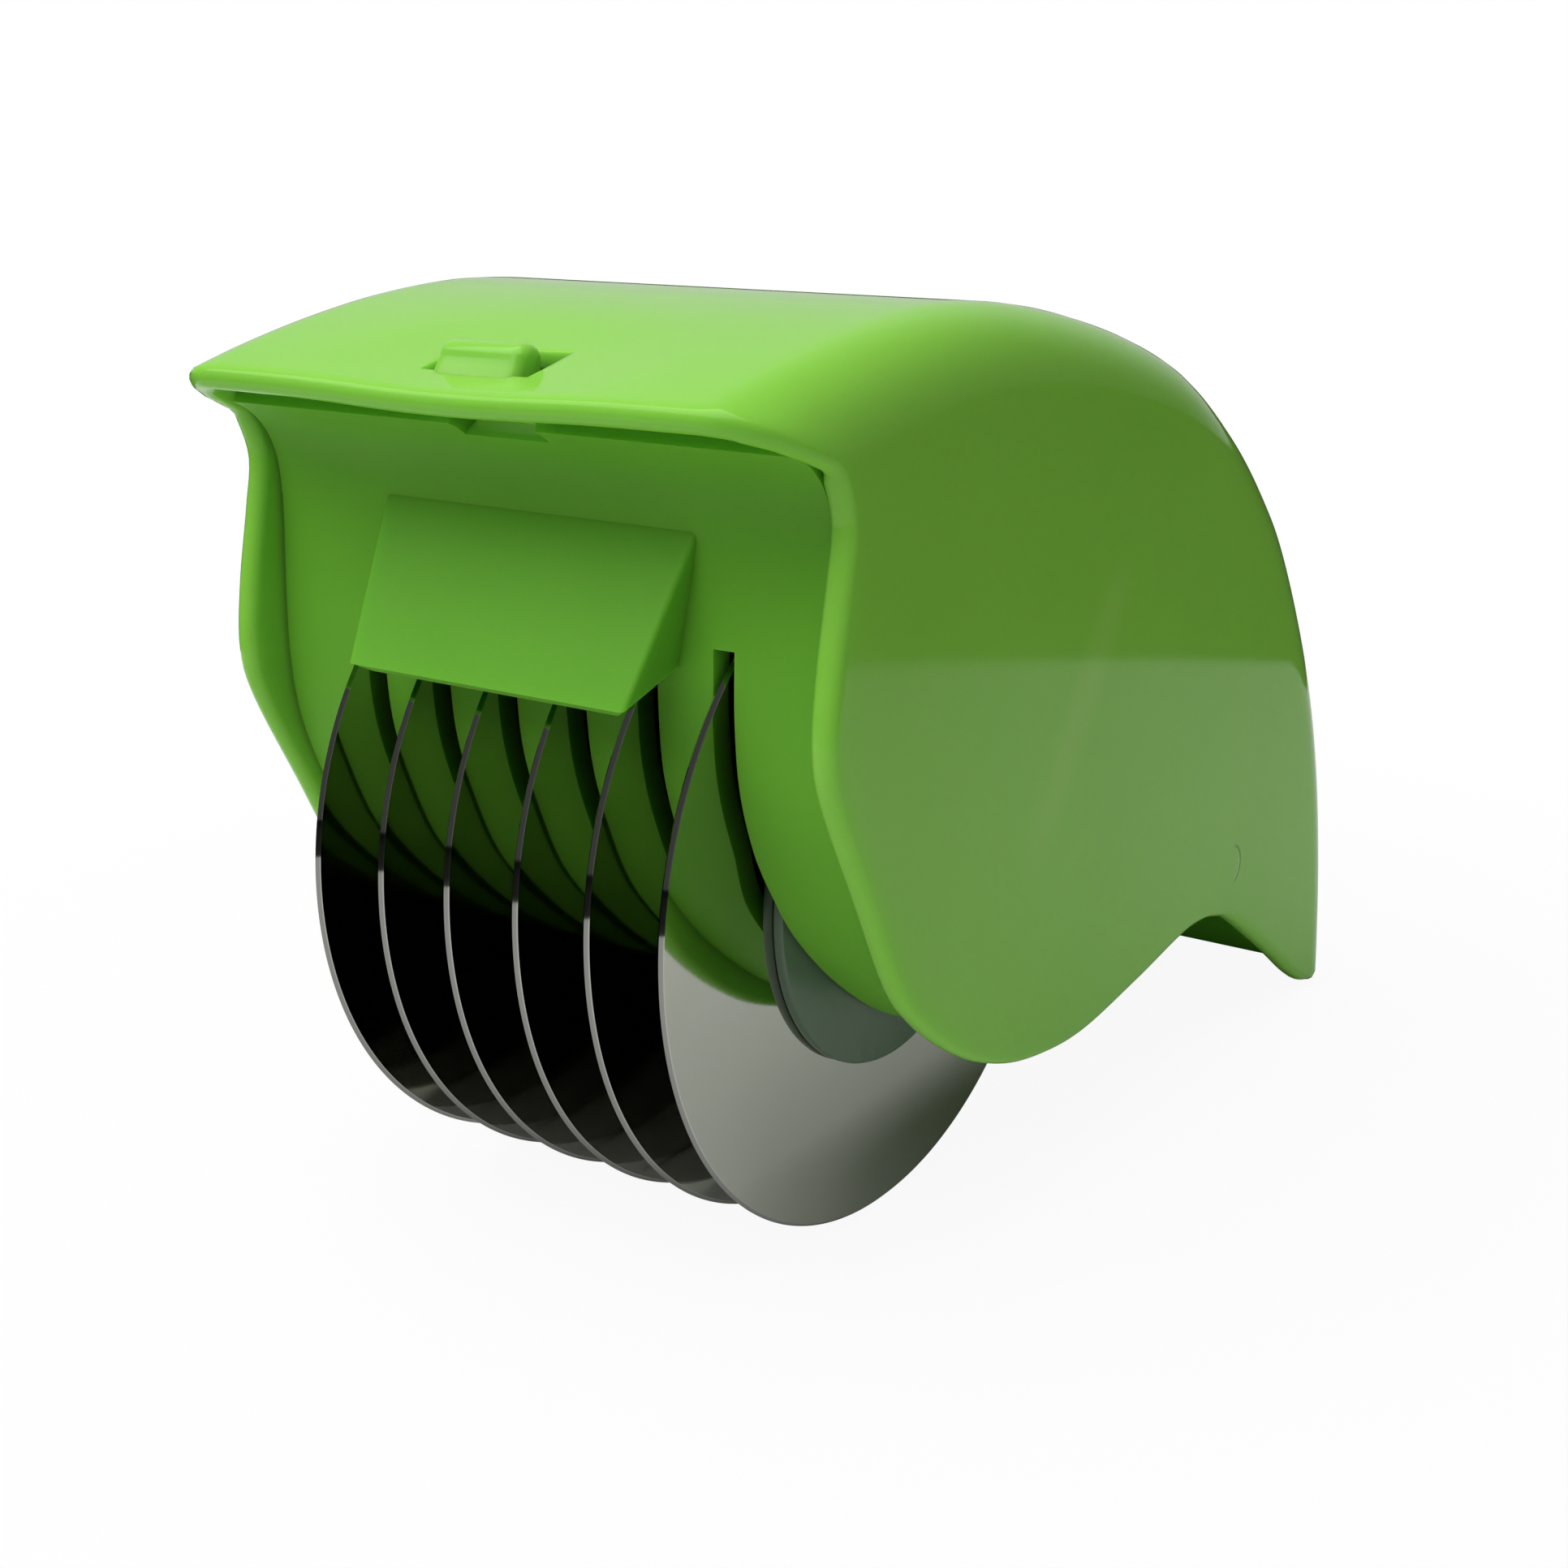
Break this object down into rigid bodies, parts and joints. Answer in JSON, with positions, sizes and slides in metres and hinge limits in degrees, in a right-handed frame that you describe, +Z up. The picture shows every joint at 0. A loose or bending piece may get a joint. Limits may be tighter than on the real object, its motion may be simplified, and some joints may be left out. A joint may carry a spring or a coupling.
{
  "type": "rolling herb mincer",
  "caption": "Palm-held rolling herb mincer: round steel blades on an axle in a hinged slotted comb, which swings out of a curved plastic hood and is held by a spring catch.",
  "frame": {"origin": "centre of the bounding box, on the floor that the blades and the rear feet stand on", "axes": "+X along the axle, +Y from the blades to the rear feet, +Z up"},
  "size_m": [0.0596, 0.1034, 0.0766],
  "materials": {
    "green_plastic": "glossy lime-green moulded plastic",
    "comb_plastic": "glossy lime-green moulded plastic",
    "blade_steel": "fine-ground stainless steel with a bevelled rim",
    "steel": "bright steel",
    "grey_plastic": "grey translucent plastic",
    "pale_plastic": "pale bearing plastic"
  },
  "bodies": {
    "housing": {"housing": "green_plastic"},
    "comb": {"comb": "comb_plastic", "bush_left": "pale_plastic", "bush_right": "pale_plastic"},
    "latch": {"latch": "comb_plastic"},
    "blade_set": {"axle": "steel", "blade_1": "blade_steel", "blade_2": "blade_steel", "blade_3": "blade_steel", "blade_4": "blade_steel", "blade_5": "blade_steel", "blade_6": "blade_steel", "spacer_1": "grey_plastic", "spacer_2": "grey_plastic", "spacer_3": "grey_plastic", "spacer_4": "grey_plastic", "spacer_5": "grey_plastic", "end_washer_left": "grey_plastic", "end_washer_right": "grey_plastic", "clip_left": "steel", "clip_right": "steel"}
  },
  "joints": [
    {"name": "comb_swing", "type": "hinge", "parent": "housing", "child": "comb", "pos_m": [0, 0.02336, 0.01985], "axis": [1, 0, 0], "range_deg": [0, 100]},
    {"name": "latch_press", "type": "hinge", "parent": "comb", "child": "latch", "pos_m": [0, -0.04413, 0.06987], "axis": [-1, 0, 0], "range_deg": [0, 10], "stiffness_Nm_per_rad": 0.1},
    {"name": "blade_spin", "type": "hinge", "parent": "comb", "child": "blade_set", "pos_m": [0, -0.01948, 0.03], "axis": [1, 0, 0], "continuous": true}
  ]
}
